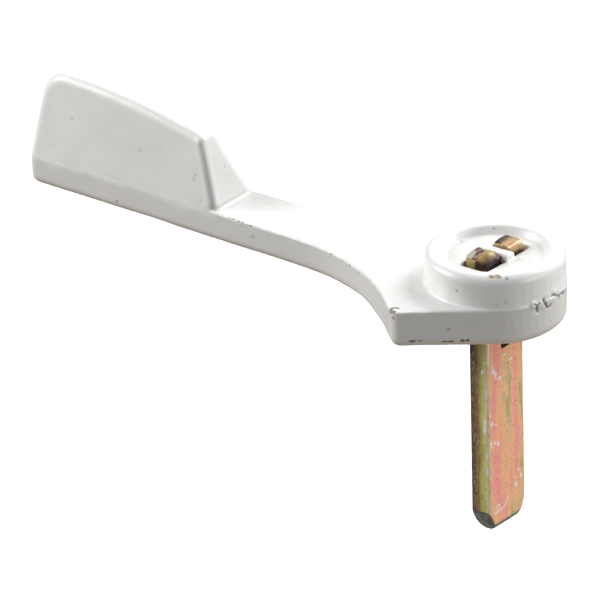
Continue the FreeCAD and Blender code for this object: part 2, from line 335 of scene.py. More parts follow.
# Pinholes and dark specks left by dust in the enamel: place and radius.
PINHOLES = (
    ((6.52, -6.23, 9.64), 0.34),
    ((-5.1, -15.55, 4.4), 0.26),
    ((-46.72, -4.0, 9.95), 0.24),
    ((-46.89, -4.0, 9.3), 0.24),
    ((-56.3, -3.7, 11.05), 0.2),
    ((-69.5, -3.15, 15.3), 0.16),
    ((-68.3, -3.25, 12.5), 0.16),
    ((-45.95, -4.1, 6.5), 0.2),
    ((-60.7, -3.6, 2.33), 0.26),
    ((-44.5, -0.3, 10.5), 0.2),
    ((-36.9, -4.4, 3.64), 0.28),
    ((-18.8, -6.8, 5.0), 0.28),
    ((-16.65, -7.7, 4.95), 0.24),
    ((-10.0, -5.3, 5.45), 0.2),
    ((-9.4, -5.5, 5.45), 0.16),
    ((-6.87, -6.55, 6.1), 0.26),
    ((0.7, -9.43, 7.55), 0.3),
    ((0.75, -11.4, 2.8), 0.28),
    ((6.65, -6.76, 6.5), 0.24),
    ((5.76, -7.55, 6.2), 0.2),
    ((-6.1, 1.0, 8.85), 0.24),
    ((4.6, -1.7, 8.85), 0.18),
    ((-4.2, 5.6, 9.55), 0.2),
    ((-15.9, 0.7, 5.45), 0.16),
)


def crescent_chip(points):
    """Curved chip on the heel's top corner, as left by a slip of a screwdriver."""
    centre = np.array([-5.25, -14.9, PLATE_TOP])
    away = (points - centre)[:, :2]
    distance = np.linalg.norm(away, axis=1)
    turn = np.degrees(np.arctan2(away[:, 1], away[:, 0]))
    band = 1.0 - np.abs(distance - 0.6) / 0.3
    open_side = smooth_step(np.abs(turn - 10.0), 45.0, 75.0)
    on_top = smooth_step(points[:, 2], PLATE_TOP - 0.6, PLATE_TOP - 0.2)
    return np.clip(band, 0.0, 1.0) * open_side * on_top


def chip_field(points):
    """How deep in a chip each point is: 0 on sound enamel, rising to 1 at a chip's middle."""
    field = crescent_chip(points)
    for centre, reach in CHIPS:
        field = np.maximum(field, near(points, centre, reach))
    ragged = 0.22 * lattice_noise(points, 0.35, 31) + 0.12 * lattice_noise(points, 0.18, 32)
    return np.where(field > 0.02, np.clip(field + ragged, 0.0, 1.0), 0.0)


def pinhole_field(points):
    """1 at the middle of each pinhole, falling to 0 at its rim."""
    field = np.zeros(len(points))
    for centre, radius in PINHOLES:
        field = np.maximum(field, near(points, centre, (radius,) * 3))
    return field


def round_the_hub(points):
    """Distance travelled round the hub's wall, and height, in millimetres."""
    turn = np.arctan2(points[:, 1], points[:, 0])
    return np.column_stack((turn * hub_radius, points[:, 2]))


def unrolled(place):
    """The same flat coordinates for a heading in degrees and a height."""
    return np.array([math.radians(place[0]) * hub_radius, place[1]])


def distance_to_path(flat, path):
    """Shortest distance from each flat point to a path of straight runs."""
    nearest = np.full(len(flat), np.inf)
    for start, end in zip(path[:-1], path[1:]):
        run = end - start
        share = np.clip(((flat - start) @ run) / (run @ run), 0.0, 1.0)
        nearest = np.minimum(nearest, np.linalg.norm(flat - start - share[:, None] * run, axis=1))
    return nearest


def on_hub_wall(points):
    """1 on the hub's outer wall on its +X side, 0 elsewhere."""
    radius = np.linalg.norm(points[:, :2], axis=1)
    return smooth_step(radius, hub_radius - 0.9, hub_radius - 0.45) * (points[:, 0] > 0.0)


def scar_field(points):
    """Rough strip on the hub's wall round the broken gate."""
    turn = np.degrees(np.arctan2(points[:, 1], points[:, 0]))
    along = smooth_step(turn, -25.0, -18.0) * (1.0 - smooth_step(turn, 22.0, 34.0))
    height = PARTING_HEIGHT + 0.1 + 0.3 * lattice_noise(points * np.array([1, 1, 0]), 1.7, 41)
    band = 1.0 - smooth_step(np.abs(points[:, 2] - height), 0.5, 1.3)
    return along * band * on_hub_wall(points)


def crack_field(points):
    """Creases left by the broken gate: 1 along each crease, falling evenly to 0 beside it."""
    flat = round_the_hub(points)
    flat = flat + 0.12 * np.column_stack([lattice_noise(points, 0.5, seed) for seed in (42, 43)])
    nearest = np.full(len(points), np.inf)
    for path in CRACKS:
        nearest = np.minimum(nearest, distance_to_path(flat, [unrolled(place) for place in path]))
    return np.clip(1.0 - nearest / 0.5, 0.0, 1.0) * on_hub_wall(points)


def lump_field(points):
    """Blob of metal at the scar's near end."""
    away = np.linalg.norm((round_the_hub(points) - unrolled(LUMP_PLACE)) / np.array([1.0, 0.8]), axis=1)
    return (1.0 - smooth_step(away, 0.15, LUMP_RADIUS)) * on_hub_wall(points)


def cast_waves(points, settings):
    """Slow waves all over the casting, and finer ones beside its parting line."""
    depth = settings.wave_depth / MM
    beside_parting = np.exp(-((points[:, 2] - PARTING_HEIGHT) / 0.5) ** 2)
    waves = depth * lattice_noise(points, 7.0, 11) + 0.35 * depth * lattice_noise(points, 2.4, 12)
    return waves + 0.5 * depth * lattice_noise(points, 0.95, 14) * beside_parting


def parting_flash(points, settings):
    """Thin, patchy line of flash where the mould's halves met."""
    line = np.exp(-((points[:, 2] - PARTING_HEIGHT) / 0.13) ** 2)
    return settings.flash_height / MM * line * (0.55 + 0.45 * lattice_noise(points, 1.6, 13))


def tab_corner(points, normals):
    """1 on the upright corner between the tab's near face and its sloping end, which stays crisp."""
    corner = np.clip(-2.0 * normals[:, 0] * normals[:, 1], 0.0, 1.0) * (normals[:, 0] > 0.0)
    on_tab = 1.0 - smooth_step(points[:, 0], TAB_FOOT + 3.0, TAB_FOOT + 5.0)
    return corner * on_tab * smooth_step(points[:, 2], PLATE_TOP + 0.15, PLATE_TOP + 0.95)


def thin_field(points, normals, upright, off_the_tab):
    """Painted shade on the enamel: darker under the parting line, on the up-facing fillet at the tab's foot
    and on the recess's floor.
    """
    blend = 0.25 + 0.9 * (1.0 - off_the_tab)
    ragged_height = points[:, 2] + 0.5 * blend * lattice_noise(points, 2.0, 15)
    under = 1.0 - smooth_step(ragged_height, PARTING_HEIGHT - blend, PARTING_HEIGHT + 0.4 * blend)
    # Painted shade over the up-facing fillet at the tab's foot.
    foot = near(points[:, [0, 2]], (TAB_FOOT, PLATE_TOP + 0.25), (0.9, 0.6))
    foot *= smooth_step(normals[:, 0], 0.2, 0.4)
    thin = np.maximum(under * upright, smooth_step(foot, 0.0, 0.3))
    # Painted shade on the recess's floor.
    radius = np.linalg.norm(points[:, :2], axis=1)
    in_recess = 1.0 - smooth_step(radius, RECESS_RADIUS - 0.8, RECESS_RADIUS + 0.2)
    in_recess *= smooth_step(points[:, 2], RECESS_FLOOR - 0.3, RECESS_FLOOR - 0.1) * (1.0 - upright)
    return np.maximum(thin, in_recess * (0.4 + 0.25 * lattice_noise(points, 1.5, 16)))


def grimy_field(points, normals, upright):
    """Painted warm shade on the down-facing faces round the casting's lower edge and on the walls of the
    pocket beside the web.
    """
    facing_down = -normals[:, 2]
    low_edge = smooth_step(facing_down, 0.05, 0.75) * (1.0 - smooth_step(points[:, 2], 2.2, 3.4))
    low_edge *= 1.0 - 0.8 * smooth_step(facing_down, 0.85, 0.99)
    across, along = np.abs(points[:, 0]), np.abs(points[:, 1])
    in_pocket = (across < POCKET_REACH[0]) & (along < POCKET_REACH[1]) & (points[:, 2] > 1.0)
    pocket_wall = in_pocket * upright * (1.0 - smooth_step(points[:, 2], WEB_TOP - 0.35, WEB_TOP))
    pocket_wall *= smooth_step(along, WEB_REACH, WEB_REACH + 0.5)
    return np.maximum(low_edge, 0.65 * pocket_wall)


def shape_enamel(piece, settings):
    """Casting waves, parting line, gate scar and chips on the enamelled skin."""
    mesh = piece.data
    points, normals = read_points(mesh)
    chips, holes = chip_field(points), pinhole_field(points)
    scar, cracks = scar_field(points), crack_field(points)
    upright = 1.0 - smooth_step(np.abs(normals[:, 2]), 0.45, 0.75)
    off_the_tab = smooth_step(points[:, 0], TAB_FOOT - 2.0, TAB_FOOT + 1.0)
    lift = cast_waves(points, settings) + parting_flash(points, settings) * upright * off_the_tab
    lift += scar * (0.10 * lattice_noise(points, 0.9, 44) + 0.05 * lattice_noise(points, 0.45, 45))
    lift += CORNER_LIFT * tab_corner(points, normals)
    lift += LUMP_HEIGHT * lump_field(points) - CRACK_DEPTH * smooth_step(cracks, 0.45, 0.9)
    chip_depth = settings.chip_depth / MM
    lift -= chip_depth * (smooth_step(chips, 0.25, 0.55) + smooth_step(holes, 0.2, 0.7))
    lift += 0.3 * chip_depth * smooth_step(chips, 0.02, 0.2) * (1.0 - smooth_step(chips, 0.2, 0.3))
    write_points(mesh, points + normals * lift[:, None], lever_low, lever_high)
    # Two of these fields carry painted shade: the darker lower walls, tab foot and recess floor, and the
    # warm shade on the lower edges and pocket walls.
    write_fields(
        mesh, chipped=chips, pinholes=smooth_step(holes, 0.1, 0.6), cracked=cracks, scarred=scar,
        thin=thin_field(points, normals, upright, off_the_tab), grimy=grimy_field(points, normals, upright))


# ---- wear on the tailpiece

# Streaks of the chromate film on the face that looks along +X: middle (Y, Z), half width,
# half length, and how much thinner (pinker) or thicker (more olive) the film is there.
STREAKS = (
    (-2.3, -5.0, 0.75, 3.2, 0.42), (0.3, -9.2, 0.9, 5.0, -0.46), (1.75, -8.0, 0.50, 3.4, 0.40),
    (-2.8, -11.6, 0.55, 3.6, 0.42), (-1.5, -12.2, 0.60, 3.0, 0.06), (0.5, -14.4, 0.60, 3.8, -0.30),
    (2.05, -16.6, 0.42, 5.6, 0.55), (-0.5, -20.6, 0.85, 5.4, 0.02), (-2.5, -21.6, 0.95, 5.2, 0.42),
    (2.2, -23.6, 0.40, 3.0, 0.40), (3.35, -14.0, 0.42, 13.0, -0.38), (-1.0, -27.2, 1.1, 1.6, 0.25),
    (1.2, -28.2, 1.2, 1.3, -0.22), (-3.1, -4.0, 0.40, 2.0, -0.10), (0.7, -24.6, 0.6, 2.4, 0.16),
)

# Scuffs through the film: place, and reach along X, Y and Z.
SCUFFS = (
    ((1.5, -2.85, -6.3), (0.6, 0.50, 0.75)), ((1.5, -2.3, -7.2), (0.6, 0.40, 0.60)),
    ((1.5, -1.45, -7.9), (0.6, 0.45, 0.38)), ((1.5, -3.5, -16.9), (0.6, 0.38, 0.95)),
    ((1.5, -1.95, -17.3), (0.6, 0.40, 0.55)), ((1.5, -3.3, -14.0), (0.6, 0.42, 0.45)),
    ((1.5, -2.5, -14.4), (0.6, 0.25, 0.22)), ((1.5, 1.85, -24.9), (0.6, 0.42, 0.55)),
    ((1.5, 0.85, -6.1), (0.6, 0.75, 0.28)), ((1.5, -2.6, -17.0), (0.6, 0.3, 0.3)),
    ((0.8, -3.95, -14.9), (0.35, 0.5, 1.05)), ((0.85, -3.95, -13.6), (0.28, 0.5, 0.6)),
    ((0.6, -3.95, -6.4), (0.3, 0.5, 0.35)), ((1.2, -3.95, -18.6), (0.3, 0.5, 0.8)),
    ((1.5, -3.1, -5.6), (0.6, 0.35, 0.5)), ((1.5, -0.4, -4.9), (0.6, 0.5, 0.25)),
    ((1.5, -3.6, -12.6), (0.6, 0.25, 0.7)), ((1.5, 2.4, -22.9), (0.6, 0.35, 0.3)),
    ((1.5, 2.9, -24.0), (0.6, 0.3, 0.6)), ((1.5, 1.2, -23.6), (0.6, 0.35, 0.25)),
    ((1.3, -3.9, -9.4), (0.4, 0.35, 1.3)), ((1.3, -3.9, -20.9), (0.4, 0.35, 1.0)),
    ((-1.5, 1.6, -8.4), (0.6, 0.55, 0.8)), ((-1.5, -2.2, -15.5), (0.6, 0.5, 1.1)),
    ((-1.5, 0.4, -22.8), (0.6, 0.8, 0.4)), ((0.2, 3.95, -11.5), (0.5, 0.5, 0.9)),
)

# Scratch near the tip: points it passes through on the +X face, and the loop beside it.
SCRATCH = ((0.26, -25.95), (-0.25, -26.45), (-0.82, -27.03), (-1.8, -27.35), (-3.07, -27.24))
SCRATCH_LOOP = ((-2.04, -26.62), 0.34)


def film_field(points, normals):
    """How thin the chromate film is, from 0 (thick, olive) to 1 (thin, pink)."""
    drawn = points * np.array([1.0, 1.0, 0.16])
    film = 0.52 + 0.24 * lattice_noise(drawn, 0.95, 61) + 0.15 * lattice_noise(drawn, 0.42, 62)
    film += 0.08 * lattice_noise(points, 0.5, 63)
    faces_right = smooth_step(normals[:, 0], 0.4, 0.8)
    wander = 0.28 * lattice_noise(points * np.array([0.0, 0.0, 1.0]), 2.2, 64)
    for y, z, half_width, half_length, change in STREAKS:
        across = (points[:, 1] + wander - y) / half_width
        along = (points[:, 2] - z) / half_length
        film += change * faces_right * np.exp(-across ** 2 - along ** 4)
    return np.clip(film, 0.0, 1.0)


def scratch_field(points, normals):
    """Thin pale lines scored near the tip on the +X face."""
    flat = points[:, 1:]
    loop = np.abs(np.linalg.norm(flat - np.array(SCRATCH_LOOP[0]), axis=1) - SCRATCH_LOOP[1])
    nearest = np.minimum(loop, distance_to_path(flat, [np.array(place) for place in SCRATCH]))
    return (1.0 - smooth_step(nearest, 0.06, 0.17)) * smooth_step(normals[:, 0], 0.6, 0.9)


def scuff_field(points):
    """How deep in a scuff each point is: 0 on sound film, rising to 1 at a scuff's middle."""
    field = np.zeros(len(points))
    for centre, reach in SCUFFS:
        field = np.maximum(field, near(points, centre, reach))
    drawn = points * np.array([1.0, 1.0, 0.5])
    ragged = 0.30 * lattice_noise(drawn, 0.3, 65) + 0.2 * lattice_noise(points, 0.16, 66)
    return np.where(field > 0.02, np.clip(field + ragged, 0.0, 1.0), 0.0)


def hammered_tops(points):
    """How far each point stands above its prong's punched top, and 1 on the flat facet of the ear."""
    x, y, z = points.T
    ear = EAR_TOP - 0.30 * np.clip(FACET_START - y, 0.0, None)
    lobe = LOBE_TOP - 0.50 * ((x - 0.7) / 0.9) ** 2 - 0.32 * ((y + 2.5) / 1.2) ** 2
    blunt_side = np.clip(1.9 - y, 0.0, None) ** 2 * smooth_step(-x, -0.5, 1.0)
    far = FAR_TOP - 0.14 * (x + 1.6) - 0.5 * blunt_side
    limit = np.where(y > 0.0, far, np.where(x < EAR_SPLIT, ear, lobe))
    cut = np.clip(z - limit, 0.0, None)
    facet = smooth_step(cut, 0.01, 0.06) * (y < FACET_START) * (x < EAR_SPLIT)
    return cut, facet


def hammered_tone(points, normals):
    """Tone of the prongs, from dark brown (0) through olive (about 0.5) and orange or mauve (0.7) to pale
    gold (1): chromate tones with painted shade lower in the pocket, faces lighter or darker by which way
    they look, and a painted highlight line on the far prong's brow.
    """
    x, y, z = points.T
    # Painted shade: darker lower in the pocket, and towards the lobe's bottom and its +X side.
    depth = 1.0 - smooth_step(z, 8.5, 9.9)
    lobe = 0.52 - 0.46 * (1.0 - smooth_step(z, 8.9, 10.3)) - 0.22 * smooth_step(x, 0.6, 1.7)
    # Painted light: the ear's faces that look along -Y are lighter.
    ear = 0.20 + 0.38 * smooth_step(-normals[:, 1], 0.5, 0.9)
    near_prong = np.where(x > EAR_SPLIT + 0.1, lobe, ear)
    far_prong = 0.61 - 0.5 * depth + 0.08 * smooth_step(normals[:, 0], 0.5, 0.8)
    # Painted highlight: a pale line along the far prong's brow.
    brow = np.exp(-((x - 1.5) / 0.25) ** 2) * smooth_step(z, 9.7, 9.95)
    ridge = smooth_step(-x, -0.7, 0.5) * smooth_step(normals[:, 2], 0.4, 0.7)
    tone = np.where(y < 0.0, near_prong, far_prong + 0.36 * brow - 0.48 * ridge)
    return tone + 0.13 * lattice_noise(points, 0.7, 57) + 0.06 * lattice_noise(points, 0.3, 58)


def shape_plating(piece, settings):
    """Hammered prongs, rolling waves, a ground tip, scuffs and a scratch on the tailpiece's skin."""
    mesh = piece.data
    points, normals = read_points(mesh)
    staked = smooth_step(points[:, 2], STAKED_START, STAKED_FULL)
    cut, facet = hammered_tops(points)
    points[:, 2] -= cut * smooth_step(points[:, 2], STAKED_FULL + 0.2, STAKED_FULL + 0.5)
    dent = lattice_noise(points, 1.3, 51) + 0.4 * lattice_noise(points, 0.55, 52)
    lift = -settings.hammer_depth / MM * staked * np.clip(dent + 0.4, 0.0, 1.5)
    rolled = points * np.array([1.0, 1.0, 0.12])
    lift += 0.012 * lattice_noise(rolled, 0.6, 53) * (1.0 - staked)
    tip = tail_low[2]
    slanted = smooth_step(-normals[:, 2], 0.12, 0.35)
    ground = slanted * (1.0 - smooth_step(points[:, 2], tip + 3.4, tip + 4.0))
    scratch, scuffs = scratch_field(points, normals), scuff_field(points)
    lift -= ground * 0.03 * (1.0 + lattice_noise(points, 0.7, 54)) + 0.03 * scratch + 0.02 * scuffs
    write_points(mesh, points + normals * lift[:, None], tail_low, tail_high)
    facing_x, facing_y = np.abs(normals[:, 0]), np.abs(normals[:, 1])
    narrow = smooth_step(facing_y, 0.5, 0.85)
    ragged = 0.25 * lattice_noise(points, 0.6, 55) + 0.15 * lattice_noise(points, 0.25, 56)
    low_end = (1.0 - smooth_step(points[:, 2] + ragged, tip + 2.0, tip + 2.7)) * narrow
    worn = np.clip(0.8 * np.maximum(ground, low_end) + 0.4 * ragged * ground, 0.0, 1.0)
    # Painted shade inside the fork slot.
    in_slot = (np.abs(points[:, 1]) < SLOT_HALF + 0.08) & (points[:, 2] > SLOT_END - 0.6)
    slotted = in_slot * (1.0 - smooth_step(facing_x, 0.6, 0.85)) * (1.0 - staked)
    # Mask of the bar's rounded edges, where the material paints a highlight.
    edges = smooth_step(np.minimum(facing_x, facing_y), 0.2, 0.55) * (1.0 - staked)
    write_fields(
        mesh, worn=worn, narrow=narrow, staked=staked, facet=facet * staked, slotted=slotted, edges=edges,
        hammered=np.clip(hammered_tone(points, normals), 0.0, 1.0), film=film_field(points, normals),
        scuffed=scuffs, scratched=scratch)


# ---- material helpers


NUMBER, VECTOR = "NodeSocketFloat", "NodeSocketVector"


def new_group(name, inputs, outputs):
    """Empty shader node group with named sockets; returns it with its two end nodes."""
    group = bpy.data.node_groups.new(name, "ShaderNodeTree")
    for label, kind, value in inputs:
        socket = group.interface.new_socket(label, in_out="INPUT", socket_type=kind)
        if value is not None:
            socket.default_value = value
    for label, kind in outputs:
        group.interface.new_socket(label, in_out="OUTPUT", socket_type=kind)
    return group, group.nodes.new("NodeGroupInput"), group.nodes.new("NodeGroupOutput")


def plug(tree, value, socket):
    """Links an output to a socket, or sets the socket to a plain value."""
    if isinstance(value, bpy.types.NodeSocket):
        tree.links.new(value, socket)
    else:
        socket.default_value = value


def math_node(tree, operation, first, second, clamp=False):
    """One sum on two outputs or plain values."""
    node = tree.nodes.new("ShaderNodeMath")
    node.operation = operation
    node.use_clamp = clamp
    for socket, value in zip(node.inputs, (first, second)):
        plug(tree, value, socket)
    return node.outputs[0]


def times(tree, first, second):
    """Product of two outputs or plain values."""
    return math_node(tree, "MULTIPLY", first, second)


def plus(tree, first, second):
    """Sum of two masks, kept between 0 and 1."""
    return math_node(tree, "ADD", first, second, clamp=True)


def swing(tree, value, amount):
    """A value from 0 to 1 turned into a swing about 0, half the amount either way."""
    return times(tree, math_node(tree, "SUBTRACT", value, 0.5), amount)


def noise_node(tree, coordinates, scale, detail=3.0, roughness=0.5, distortion=0.0):
    node = tree.nodes.new("ShaderNodeTexNoise")
    plug(tree, coordinates, node.inputs["Vector"])
    plug(tree, scale, node.inputs["Scale"])
    node.inputs["Detail"].default_value = detail
    node.inputs["Roughness"].default_value = roughness
    node.inputs["Distortion"].default_value = distortion
    return node.outputs["Fac"]


def drawn_noise(tree, coordinates, along, *noise):
    """Noise drawn out along the bar: it changes `along` times as fast along Z as across."""
    node = tree.nodes.new("ShaderNodeMapping")
    plug(tree, coordinates, node.inputs["Vector"])
    node.inputs["Scale"].default_value = (1.0, 1.0, along)
    return noise_node(tree, node.outputs["Vector"], *noise)


def axis_node(tree, coordinates, axis):
    """One coordinate, by its letter."""
    node = tree.nodes.new("ShaderNodeSeparateXYZ")
    plug(tree, coordinates, node.inputs["Vector"])
    return node.outputs[axis]


def range_node(tree, value, low, high, to_low=0.0, to_high=1.0):
    """Smooth change from one level to another as a value goes from low to high."""
    node = tree.nodes.new("ShaderNodeMapRange")
    node.interpolation_type = "SMOOTHSTEP"
    for socket, given in zip(node.inputs, (value, low, high, to_low, to_high)):
        plug(tree, given, socket)
    return node.outputs[0]


def mix_colour(tree, share, first, second):
    """From the first colour to the second as the share goes from 0 to 1."""
    node = tree.nodes.new("ShaderNodeMix")
    node.data_type = "RGBA"
    colours = [socket for socket in node.inputs if socket.type == "RGBA"]
    plug(tree, share, node.inputs["Factor"])
    plug(tree, first, colours[0])
    plug(tree, second, colours[1])
    return [socket for socket in node.outputs if socket.type == "RGBA"][0]


def tint(tree, colour, tone, mask, strength=1.0):
    """Lays a tone over a colour where a mask is."""
    return mix_colour(tree, times(tree, mask, strength), colour, with_alpha(tone))


def field_node(tree, name):
    """One of the fields written on the mesh."""
    node = tree.nodes.new("ShaderNodeAttribute")
    node.attribute_name = name
    return node.outputs["Fac"]


def place_group(tree, group, **values):
    """A shared group with its own values; an underscore stands for a space in a socket's name."""
    node = tree.nodes.new("ShaderNodeGroup")
    node.node_tree = group
    for label, value in values.items():
        plug(tree, value, node.inputs[label.replace("_", " ")])
    return node


def relief_node(tree, shader, height, strength, distance):
    """Fine relief on the surface, from a height."""
    bump = tree.nodes.new("ShaderNodeBump")
    bump.inputs["Strength"].default_value = strength
    bump.inputs["Distance"].default_value = distance
    plug(tree, height, bump.inputs["Height"])
    plug(tree, bump.outputs["Normal"], shader.inputs["Normal"])


def with_alpha(colour):
    return (*colour, 1.0)


def new_material(name):
    """Material with a Principled shader; returns it, its tree, the shader and object coordinates."""
    material = bpy.data.materials.new(name)
    material.use_nodes = True
    tree = material.node_tree
    shader = tree.nodes["Principled BSDF"]
    coordinates = tree.nodes.new("ShaderNodeTexCoord").outputs["Object"]
    return material, tree, shader, coordinates


def grain_group():
    """Mottling and fine relief of a coated surface."""
    group, given, result = new_group(
        "Surface Grain",
        (("Vector", VECTOR, None), ("Mottle Scale", NUMBER, 200.0), ("Relief Scale", NUMBER, 2500.0)),
        (("Mottle", NUMBER), ("Relief", NUMBER)))
    mottle = noise_node(group, given.outputs["Vector"], given.outputs["Mottle Scale"], 4.0, 0.6)
    relief = noise_node(group, given.outputs["Vector"], given.outputs["Relief Scale"], 2.0, 0.5)
    plug(group, range_node(group, mottle, 0.3, 0.7), result.inputs["Mottle"])
    plug(group, relief, result.inputs["Relief"])
    return group


def ragged_group():
    """Turns a soft wear field into a mask with a crisp, ragged edge."""
    group, given, result = new_group(
        "Ragged Wear",
        (("Vector", VECTOR, None), ("Field", NUMBER, 0.0),
         ("Edge Scale", NUMBER, 3000.0), ("Raggedness", NUMBER, 0.3)),
        (("Bare", NUMBER), ("Rim", NUMBER)))
    edge = noise_node(group, given.outputs["Vector"], given.outputs["Edge Scale"], 3.0, 0.6)
    field = math_node(group, "ADD", given.outputs["Field"], swing(group, edge, given.outputs["Raggedness"]))
    outer, inner = range_node(group, field, 0.16, 0.26), range_node(group, field, 0.3, 0.4)
    plug(group, range_node(group, field, 0.30, 0.38), result.inputs["Bare"])
    plug(group, math_node(group, "SUBTRACT", outer, inner, clamp=True), result.inputs["Rim"])
    return group


def speck_group():
    """Sparse tiny specks."""
    group, given, result = new_group(
        "Fine Specks",
        (("Vector", VECTOR, None), ("Scale", NUMBER, 300.0), ("Size", NUMBER, 0.05), ("Share", NUMBER, 0.2)),
        (("Specks", NUMBER),))
    cells = group.nodes.new("ShaderNodeTexVoronoi")
    plug(group, given.outputs["Vector"], cells.inputs["Vector"])
    plug(group, given.outputs["Scale"], cells.inputs["Scale"])
    pick = group.nodes.new("ShaderNodeSeparateColor")
    plug(group, cells.outputs["Color"], pick.inputs["Color"])
    chosen = math_node(group, "LESS_THAN", pick.outputs["Red"], given.outputs["Share"])
    size = times(group, pick.outputs["Green"], given.outputs["Size"])
    inside = math_node(group, "LESS_THAN", cells.outputs["Distance"], size)
    plug(group, times(group, chosen, inside), result.inputs["Specks"])
    return group


# ---- materials

# Tints of painted shade, dirt and wear on the enamel.
PAINTED_SHADE_GREY = (0.68, 0.665, 0.635)
LOW_SHADE_TAN = (0.74, 0.62, 0.48)
SCAR_SMUT = (0.33, 0.32, 0.33)
DARK_DIRT = (0.17, 0.16, 0.15)
CHIP_RIM = (0.30, 0.26, 0.20)

# Tints of dirt, wear, painted shade in the slot and a painted highlight on the edges of the chromate.
FACET_STEEL = (0.60, 0.58, 0.53)
SLOT_SHADE = (0.02, 0.014, 0.01)
PALE_HAZE = (0.88, 0.78, 0.66)
OLIVE_FLECK = (0.42, 0.33, 0.15)
EDGE_HIGHLIGHT = (1.0, 0.88, 0.70)
SCUFF_RIM = (0.45, 0.38, 0.28)
SCUFF = (0.90, 0.87, 0.82)
SCRATCH_TONE = (0.95, 0.85, 0.72)
BAR_SPECK = (0.16, 0.11, 0.08)
WORN_STEEL = (0.42, 0.40, 0.37)
WORN_RIM = (0.80, 0.72, 0.60)


def enamel_material(settings, grain, ragged, specks):
    """Satin white enamel with chips to zinc, pinholes, specks, and painted shade on its lower edges, lower
    walls and hollows.
    """
    material, tree, shader, coordinates = new_material("White Enamel")
    texture = place_group(tree, grain, Vector=coordinates, Mottle_Scale=190.0, Relief_Scale=2600.0)
    dust = place_group(tree, specks, Vector=coordinates, Scale=420.0, Size=0.10, Share=0.12)
    chip = place_group(tree, ragged, Vector=coordinates, Field=field_node(tree, "chipped"),
                       Edge_Scale=4200.0, Raggedness=0.35)
    bare = chip.outputs["Bare"]
    patches = range_node(tree, texture.outputs["Mottle"], 0.2, 1.0, 0.0, 0.30)
    colour = mix_colour(tree, patches, with_alpha(settings.enamel_colour), with_alpha(settings.aged_colour))
    # Painted shade: a darker grey under the parting line, at the tab's foot and on the recess's floor.
    colour = tint(tree, colour, PAINTED_SHADE_GREY, field_node(tree, "thin"), 0.8)
    # Painted warm shade on the down-facing lower edges and the pocket's walls, broken into patches by noise.
    shade_patches = range_node(tree, noise_node(tree, coordinates, 700.0, 4.0, 0.6), 0.25, 0.7, 0.25, 0.9)
    low_shade = times(tree, field_node(tree, "grimy"), shade_patches)
    colour = tint(tree, colour, LOW_SHADE_TAN, low_shade)
    smut = range_node(tree, noise_node(tree, coordinates, 1500.0, 4.0, 0.65), 0.5, 0.75, 0.0, 0.5)
    colour = tint(tree, colour, SCAR_SMUT, field_node(tree, "scarred"), smut)
    crack_edge = swing(tree, noise_node(tree, coordinates, 2400.0), 0.9)
    crack = range_node(tree, plus(tree, field_node(tree, "cracked"), crack_edge), 0.55, 0.82, 0.0, 0.9)
    holes = math_node(tree, "MAXIMUM", crack, times(tree, field_node(tree, "pinholes"), 0.75))
    dark = math_node(tree, "MAXIMUM", times(tree, dust.outputs["Specks"], 0.55), holes)
    colour = tint(tree, colour, DARK_DIRT, dark)
    height_up = axis_node(tree, coordinates, "Z")
    below_rim = range_node(tree, height_up, PLATE_TOP * MM, RECESS_FLOOR * MM, 0.9, 0.0)
    blotches = range_node(tree, noise_node(tree, coordinates, 1900.0, 3.0, 0.6), 0.45, 0.65, 0.0, 0.8)
    metal = mix_colour(tree, plus(tree, below_rim, blotches),
                       with_alpha(settings.primer_colour), with_alpha(settings.zinc_colour))
    colour = tint(tree, colour, CHIP_RIM, chip.outputs["Rim"], 0.45)
    plug(tree, mix_colour(tree, bare, colour, metal), shader.inputs["Base Color"])
    rough = range_node(tree, texture.outputs["Mottle"], 0.0, 1.0, 0.30, 0.42)
    rough = plus(tree, rough, times(tree, bare, 0.25))
    plug(tree, plus(tree, rough, times(tree, low_shade, 0.25)), shader.inputs["Roughness"])
    plug(tree, times(tree, bare, 0.45), shader.inputs["Metallic"])
    shader.inputs["Coat Weight"].default_value = 0.25
    shader.inputs["Coat Roughness"].default_value = 0.22
    height = math_node(tree, "SUBTRACT", times(tree, texture.outputs["Relief"], 0.5), bare)
    relief_node(tree, shader, height, 0.35, 0.03 * MM)
    return material


def film_colours(tree, amount, stops):
    """Ramp through a row of colours: the chromate film's as its thickness changes, and the painted shade and
    highlight across the narrow faces and on the prongs.
    """
    ramp = tree.nodes.new("ShaderNodeValToRGB")
    ramp.color_ramp.interpolation = "EASE"
    while len(ramp.color_ramp.elements) < len(stops):
        ramp.color_ramp.elements.new(0.5)
    for element, (place, colour) in zip(ramp.color_ramp.elements, stops):
        element.position = place
        element.color = with_alpha(colour)
    plug(tree, amount, ramp.inputs["Fac"])
    return ramp.outputs["Color"]


